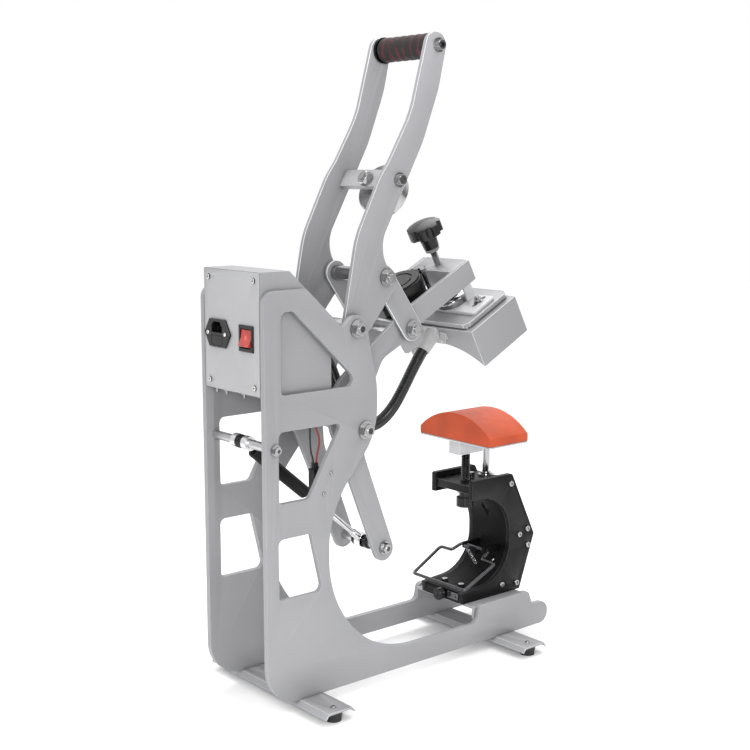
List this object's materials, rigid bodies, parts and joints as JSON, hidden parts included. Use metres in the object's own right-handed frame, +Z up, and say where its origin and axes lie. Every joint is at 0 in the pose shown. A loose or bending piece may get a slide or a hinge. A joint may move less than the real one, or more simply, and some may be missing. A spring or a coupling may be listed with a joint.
{
  "type": "cap heat press",
  "caption": "Hand-closed heat press with a curved heated head that swings down onto a curved padded platen to press the front of a cap.",
  "frame": {"origin": "centre of the footprint at the floor, under the middle of the side plates", "axes": "+X across the machine, to the operator's right; -Y towards the operator; +Z up"},
  "size_m": [0.265, 0.5294, 0.8853],
  "materials": {
    "silver_paint": "satin powder coat",
    "light_paint": "satin powder coat",
    "black_paint": "satin powder coat",
    "zinc": "zinc plated",
    "steel": "turned",
    "chrome": "polished",
    "aluminium": "satin",
    "black_oxide": "black oxide",
    "black_plastic": "fine texture",
    "grey_plastic": "satin",
    "grey_plastic_light": "satin",
    "red_rocker": "translucent, lit",
    "rubber": "matte",
    "foam": "closed-cell foam",
    "silicone": "matte",
    "black_wire": "satin",
    "red_wire": "satin"
  },
  "bodies": {
    "frame": {"side_plate_left": "silver_paint", "side_plate_right": "silver_paint", "foot_bars": "light_paint", "rubber_feet": "rubber", "frame_screws": "zinc", "deck_plate": "silver_paint", "frame_shafts": "steel", "shaft_spacers_and_nuts": "zinc", "control_box": "silver_paint", "cover_screws": "zinc", "rear_cover": "light_paint", "power_inlet": "black_plastic", "switch_bezel": "black_plastic", "controller": "grey_plastic", "limit_switch": "black_plastic", "wire_black": "black_wire", "wire_red": "red_wire", "hose": "black_plastic", "bracket_plates": "black_paint", "bracket_shelf": "black_paint", "bracket_liner": "black_paint", "bracket_base": "black_paint", "bracket_bolts": "zinc", "bail_spring": "zinc"},
    "head": {"head_plates": "silver_paint", "head_rods": "steel", "lever_collars": "black_oxide", "head_bolts": "zinc", "cross_plates": "silver_paint", "electromagnet": "black_paint"},
    "heater": {"head_housing": "silver_paint", "heater_platen": "aluminium", "carrier_plate": "silver_paint", "carrier_bolts": "zinc", "thrust_disc": "chrome", "hose_gland": "grey_plastic_light"},
    "pressure_knob": {"pressure_knob": "black_plastic", "pressure_screw": "steel"},
    "handle": {"handle_plate_right": "silver_paint", "handle_plate_left": "silver_paint", "handle_bolts": "zinc", "grip": "foam", "grip_rod": "black_oxide", "cross_bar": "zinc", "armature": "chrome"},
    "link": {"link_plates": "silver_paint", "link_bolts": "zinc"},
    "gas_cylinder": {"gas_cylinder": "black_paint"},
    "gas_rod": {"gas_rod": "chrome"},
    "rocker": {"rocker": "red_rocker"},
    "plunger": {"switch_plunger": "grey_plastic"},
    "bail": {"bail": "black_oxide"},
    "thumb_knob": {"thumb_knob": "black_plastic"},
    "platen": {"platen_block": "silver_paint", "pad_plate": "aluminium", "pad": "silicone", "height_screw": "black_oxide", "guide_rod": "chrome"},
    "height_knob": {"height_knob": "black_plastic"}
  },
  "joints": [
    {"name": "head_lift", "type": "hinge", "parent": "frame", "child": "head", "pos_m": [0, 0.10005, 0.3626], "axis": [1, 0, 0], "range_deg": [0, 28], "stiffness_Nm_per_rad": 20, "springref_deg": -85.94, "deforming": ["hose"]},
    {"name": "handle_swing", "type": "hinge", "parent": "frame", "child": "handle", "pos_m": [0, 0.11335, 0.4987], "axis": [1, 0, 0], "range_deg": [0, 61.37]},
    {"name": "link_swing", "type": "hinge", "parent": "handle", "child": "link", "pos_m": [0, 0.05375, 0.5615], "axis": [1, 0, 0], "range_deg": [-82.93, 0]},
    {"name": "gas_cylinder_swing", "type": "hinge", "parent": "frame", "child": "gas_cylinder", "pos_m": [0, 0.24635, 0.3552], "axis": [1, 0, 0], "range_deg": [0, 17.25]},
    {"name": "gas_rod_slide", "type": "slide", "parent": "gas_cylinder", "child": "gas_rod", "axis": [0, 0.7633, 0.646], "range_m": [0, 0.05601]},
    {"name": "heater_slide", "type": "slide", "parent": "head", "child": "heater", "axis": [0, 0.4695, 0.8829], "range_m": [0, 0.006]},
    {"name": "pressure_knob_turn", "type": "hinge", "parent": "heater", "child": "pressure_knob", "pos_m": [0, -0.09417, 0.56882], "axis": [0, 0.4695, 0.8829], "range_deg": [0, 1440.5]},
    {"name": "platen_slide", "type": "slide", "parent": "frame", "child": "platen", "axis": [0, 0, 1], "range_m": [-0.01, 0]},
    {"name": "height_knob_turn", "type": "hinge", "parent": "frame", "child": "height_knob", "pos_m": [0, -0.15325, 0.217], "axis": [0, 0, 1], "range_deg": [0, 1800.5]},
    {"name": "rocker_tilt", "type": "hinge", "parent": "frame", "child": "rocker", "pos_m": [-0.0343, 0.25825, 0.4938], "axis": [1, 0, 0], "range_deg": [-16, 0]},
    {"name": "plunger_slide", "type": "slide", "parent": "frame", "child": "plunger", "axis": [0, 1, 0], "range_m": [0, 0.0015], "stiffness_N_per_m": 300, "springref_m": -0.001},
    {"name": "bail_swing", "type": "hinge", "parent": "frame", "child": "bail", "pos_m": [0, -0.17525, 0.134], "axis": [1, 0, 0], "range_deg": [0, 25], "stiffness_Nm_per_rad": 0.4, "springref_deg": -34.38, "deforming": ["bail_spring"]},
    {"name": "thumb_knob_turn", "type": "hinge", "parent": "frame", "child": "thumb_knob", "pos_m": [-0.002, -0.10725, 0.077], "axis": [0, 1, 0], "range_deg": [0, 360]}
  ],
  "couplings": [
    {"joint": "handle_swing", "follows": "head_lift", "ratio": 2.1911},
    {"joint": "link_swing", "follows": "head_lift", "ratio": -2.9609},
    {"joint": "gas_cylinder_swing", "follows": "head_lift", "ratio": 0.61542},
    {"joint": "gas_rod_slide", "follows": "head_lift", "m_per_rad": 0.11441},
    {"joint": "pressure_knob_turn", "follows": "heater_slide", "rad_per_m": 4188.8},
    {"joint": "height_knob_turn", "follows": "platen_slide", "rad_per_m": -3141.6}
  ]
}
